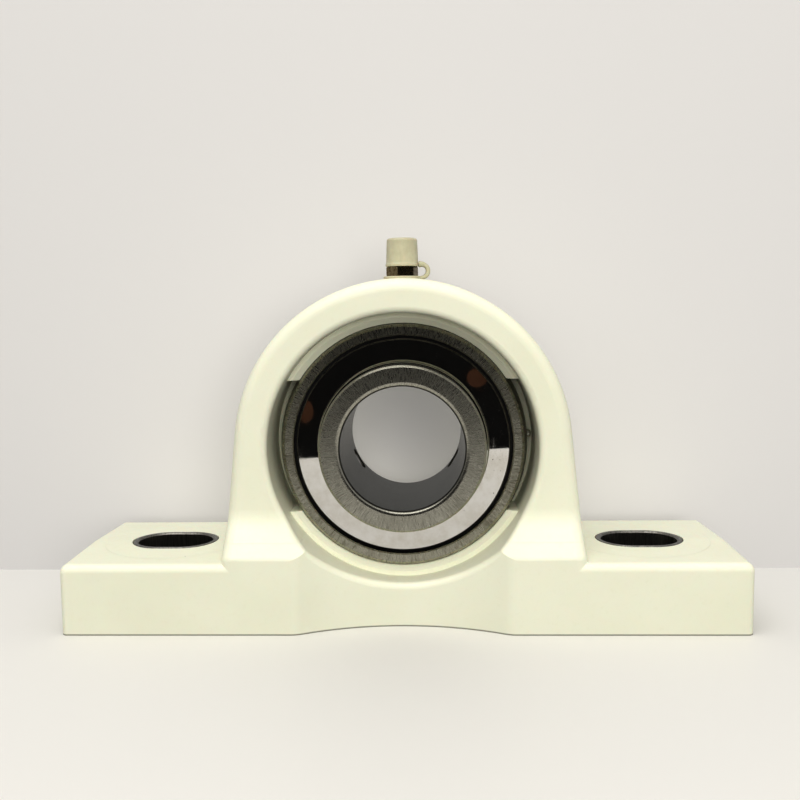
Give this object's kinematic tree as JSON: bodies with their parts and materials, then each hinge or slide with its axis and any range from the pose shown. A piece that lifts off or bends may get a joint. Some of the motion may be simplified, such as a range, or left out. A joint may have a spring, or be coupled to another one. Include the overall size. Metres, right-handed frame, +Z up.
{
  "type": "pillow block bearing",
  "caption": "Moulded plastic pillow block with a self-aligning insert ball bearing, slotted feet with steel bushes and a capped grease nipple.",
  "frame": {"origin": "on the mounting plane, under the middle of the bearing", "axes": "+X along the feet to the right-hand bolt slot, +Y along the shaft from the front to the set-screw end, +Z up"},
  "size_m": [0.163, 0.046, 0.0936],
  "materials": {
    "moulded_housing": "cream glass-filled thermoplastic, fine satin",
    "bush_steel": "drawn stainless tube",
    "ground_ring_steel": "face ground in a ring pattern",
    "turned_ring_steel": "fine ground and polished",
    "pin_steel": "plain drawn wire",
    "cage_steel": "pressed strip",
    "rivet_steel": "headed wire",
    "ball_steel": "polished",
    "seal_core_steel": "pressed strip under the rubber",
    "seal_rubber": "black nitrile rubber",
    "flinger_steel": "bright pressed stainless",
    "screw_steel": "plain stainless",
    "nipple_plate": "nickel plate",
    "spring_steel": "spring wire",
    "cap_plastic": "soft beige plastic"
  },
  "bodies": {
    "housing_body": {"housing": "moulded_housing", "bolt_bush_left": "bush_steel", "bolt_bush_right": "bush_steel", "grease_nipple": "nipple_plate", "nipple_spring": "spring_steel", "cap_tether": "cap_plastic"},
    "swivel_pin": {"anti_rotation_pin": "pin_steel"},
    "outer_ring_body": {"outer_ring": "ground_ring_steel", "seal_core_front": "seal_core_steel", "seal_core_rear": "seal_core_steel", "seal_rubber_front": "seal_rubber", "seal_rubber_rear": "seal_rubber"},
    "inner_ring_body": {"inner_ring": "turned_ring_steel", "flinger_front": "flinger_steel", "flinger_rear": "flinger_steel"},
    "cage": {"cage_front": "cage_steel", "cage_rear": "cage_steel", "cage_rivet_1": "rivet_steel", "cage_rivet_2": "rivet_steel", "cage_rivet_3": "rivet_steel", "cage_rivet_4": "rivet_steel", "cage_rivet_5": "rivet_steel", "cage_rivet_6": "rivet_steel", "cage_rivet_7": "rivet_steel", "cage_rivet_8": "rivet_steel", "cage_rivet_9": "rivet_steel"},
    "left_set_screw": {"set_screw_left": "screw_steel"},
    "right_set_screw": {"set_screw_right": "screw_steel"},
    "check_ball": {"nipple_check_ball": "ball_steel"},
    "cap": {"grease_cap": "cap_plastic"},
    "ball_1_body": {"ball_1": "ball_steel"},
    "ball_2_body": {"ball_2": "ball_steel"},
    "ball_3_body": {"ball_3": "ball_steel"},
    "ball_4_body": {"ball_4": "ball_steel"},
    "ball_5_body": {"ball_5": "ball_steel"},
    "ball_6_body": {"ball_6": "ball_steel"},
    "ball_7_body": {"ball_7": "ball_steel"},
    "ball_8_body": {"ball_8": "ball_steel"},
    "ball_9_body": {"ball_9": "ball_steel"}
  },
  "joints": [
    {"name": "align_yaw", "type": "hinge", "parent": "housing_body", "child": "swivel_pin", "pos_m": [0, 0, 0.0429], "axis": [0, 0, 1], "range_deg": [-2, 2]},
    {"name": "align_pitch", "type": "hinge", "parent": "swivel_pin", "child": "outer_ring_body", "pos_m": [0, 0, 0.0429], "axis": [0.9985, 0, 0.0541], "range_deg": [-2, 2]},
    {"name": "shaft_spin", "type": "hinge", "parent": "outer_ring_body", "child": "inner_ring_body", "pos_m": [0, 0, 0.0429], "axis": [0, 1, 0], "continuous": true},
    {"name": "cage_spin", "type": "hinge", "parent": "outer_ring_body", "child": "cage", "pos_m": [0, 0, 0.0429], "axis": [0, 1, 0], "continuous": true},
    {"name": "ball_1_spin", "type": "hinge", "parent": "cage", "child": "ball_1_body", "pos_m": [0, 0, 0.0659], "axis": [0, 1, 0], "continuous": true},
    {"name": "ball_2_spin", "type": "hinge", "parent": "cage", "child": "ball_2_body", "pos_m": [-0.01478, 0, 0.06052], "axis": [0, 1, 0], "continuous": true},
    {"name": "ball_3_spin", "type": "hinge", "parent": "cage", "child": "ball_3_body", "pos_m": [-0.02265, 0, 0.04689], "axis": [0, 1, 0], "continuous": true},
    {"name": "ball_4_spin", "type": "hinge", "parent": "cage", "child": "ball_4_body", "pos_m": [-0.01992, 0, 0.0314], "axis": [0, 1, 0], "continuous": true},
    {"name": "ball_5_spin", "type": "hinge", "parent": "cage", "child": "ball_5_body", "pos_m": [-0.00787, 0, 0.02129], "axis": [0, 1, 0], "continuous": true},
    {"name": "ball_6_spin", "type": "hinge", "parent": "cage", "child": "ball_6_body", "pos_m": [0.00787, 0, 0.02129], "axis": [0, 1, 0], "continuous": true},
    {"name": "ball_7_spin", "type": "hinge", "parent": "cage", "child": "ball_7_body", "pos_m": [0.01992, 0, 0.0314], "axis": [0, 1, 0], "continuous": true},
    {"name": "ball_8_spin", "type": "hinge", "parent": "cage", "child": "ball_8_body", "pos_m": [0.02265, 0, 0.04689], "axis": [0, 1, 0], "continuous": true},
    {"name": "ball_9_spin", "type": "hinge", "parent": "cage", "child": "ball_9_body", "pos_m": [0.01478, 0, 0.06052], "axis": [0, 1, 0], "continuous": true},
    {"name": "left_set_screw_travel", "type": "slide", "parent": "inner_ring_body", "child": "left_set_screw", "axis": [-0.866, 0, -0.5], "range_m": [-0.0008, 0.003]},
    {"name": "right_set_screw_travel", "type": "slide", "parent": "inner_ring_body", "child": "right_set_screw", "axis": [0.866, 0, -0.5], "range_m": [-0.0008, 0.003]},
    {"name": "check_ball_press", "type": "slide", "parent": "housing_body", "child": "check_ball", "axis": [0, 0, -1], "range_m": [0, 0.001], "stiffness_N_per_m": 150, "springref_m": -0.003, "deforming": ["nipple_spring"]},
    {"name": "cap_lift", "type": "slide", "parent": "housing_body", "child": "cap", "axis": [0, 0, 1], "range_m": [0, 0.006], "deforming": ["cap_tether"]}
  ],
  "couplings": [
    {"joint": "cage_spin", "follows": "shaft_spin", "ratio": 0.39647},
    {"joint": "ball_1_spin", "follows": "shaft_spin", "ratio": -2.3112},
    {"joint": "ball_2_spin", "follows": "shaft_spin", "ratio": -2.3112},
    {"joint": "ball_3_spin", "follows": "shaft_spin", "ratio": -2.3112},
    {"joint": "ball_4_spin", "follows": "shaft_spin", "ratio": -2.3112},
    {"joint": "ball_5_spin", "follows": "shaft_spin", "ratio": -2.3112},
    {"joint": "ball_6_spin", "follows": "shaft_spin", "ratio": -2.3112},
    {"joint": "ball_7_spin", "follows": "shaft_spin", "ratio": -2.3112},
    {"joint": "ball_8_spin", "follows": "shaft_spin", "ratio": -2.3112},
    {"joint": "ball_9_spin", "follows": "shaft_spin", "ratio": -2.3112}
  ]
}
